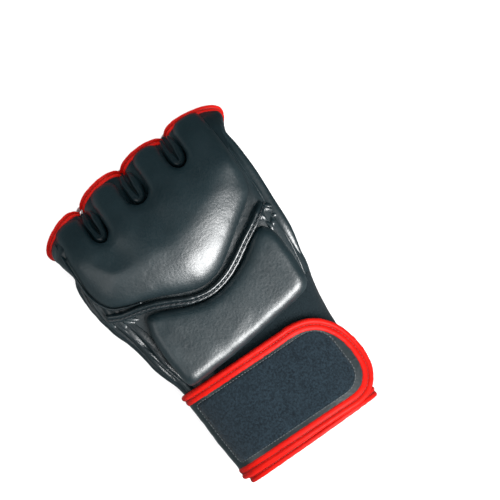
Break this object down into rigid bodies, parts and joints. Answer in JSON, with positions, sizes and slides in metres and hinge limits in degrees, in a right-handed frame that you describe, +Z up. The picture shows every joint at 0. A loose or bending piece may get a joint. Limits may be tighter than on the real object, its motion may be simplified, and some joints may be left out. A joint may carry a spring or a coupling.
{
  "type": "mma glove",
  "caption": "Open-finger martial arts glove for the left hand, with a padded back, red bound finger and thumb openings, an open palm and a hook-and-loop wrist strap.",
  "frame": {"origin": "under the middle of the glove's bounding box, on the surface that it lies on, palm down", "axes": "+Z up out of the back of the hand, +Y from the cuff to the fingers, +X to the thumb side"},
  "size_m": [0.1436, 0.224, 0.0703],
  "materials": {
    "black_leather": "soft gloss, creased",
    "red_leather": "soft gloss",
    "black_fabric": "matt brushed loop fabric",
    "lining_cloth": "matt",
    "foam": "closed-cell foam",
    "white_thread": "matt waxed thread"
  },
  "bodies": {
    "hand": {"back_lining": "lining_cloth", "back_panel": "black_leather", "cuff_hem_binding": "red_leather", "cuff_loop_patch": "black_fabric", "knuckle_pad_cover": "black_leather", "knuckle_pad_foam": "foam", "little_finger_side_panel": "black_leather", "pad_welt": "black_leather", "palm_panel": "black_leather", "palm_window_binding": "red_leather", "strap_band": "black_leather", "strap_band_end_strip": "black_fabric", "strap_band_lower_binding": "red_leather", "strap_band_upper_binding": "red_leather", "thumb_side_panel": "black_leather", "wrist_pad_cover": "black_leather", "wrist_pad_foam": "foam", "wrist_slit_binding": "red_leather"},
    "fingers": {"index_binding": "red_leather", "index_pad_cover": "black_leather", "index_pad_foam": "foam", "index_sleeve": "black_leather", "little_binding": "red_leather", "little_pad_cover": "black_leather", "little_pad_foam": "foam", "little_ring_tack": "white_thread", "little_sleeve": "black_leather", "middle_binding": "red_leather", "middle_index_tack": "white_thread", "middle_pad_cover": "black_leather", "middle_pad_foam": "foam", "middle_sleeve": "black_leather", "ring_binding": "red_leather", "ring_middle_tack": "white_thread", "ring_pad_cover": "black_leather", "ring_pad_foam": "foam", "ring_sleeve": "black_leather"},
    "thumb": {"thumb_binding": "red_leather", "thumb_mouth_tack": "white_thread", "thumb_sleeve": "black_leather"},
    "strap": {"strap_face_patch": "black_fabric", "strap_flap": "black_leather", "strap_flap_binding": "red_leather", "strap_hook_patch": "black_fabric"}
  },
  "joints": [
    {"name": "finger_curl", "type": "hinge", "parent": "hand", "child": "fingers", "pos_m": [-0.00202, 0.077, 0.03045], "axis": [-0.993, -0.1182, 0], "range_deg": [0, 32], "stiffness_Nm_per_rad": 0.5, "springref_deg": -4.58},
    {"name": "thumb_swing", "type": "hinge", "parent": "hand", "child": "thumb", "pos_m": [0.04498, -0.029, 0.01145], "axis": [0, 0, -1], "range_deg": [0, 50], "stiffness_Nm_per_rad": 0.12},
    {"name": "strap_peel", "type": "hinge", "parent": "hand", "child": "strap", "pos_m": [-0.04922, -0.073, 0.0235], "axis": [0, -1, 0], "range_deg": [0, 150]}
  ]
}
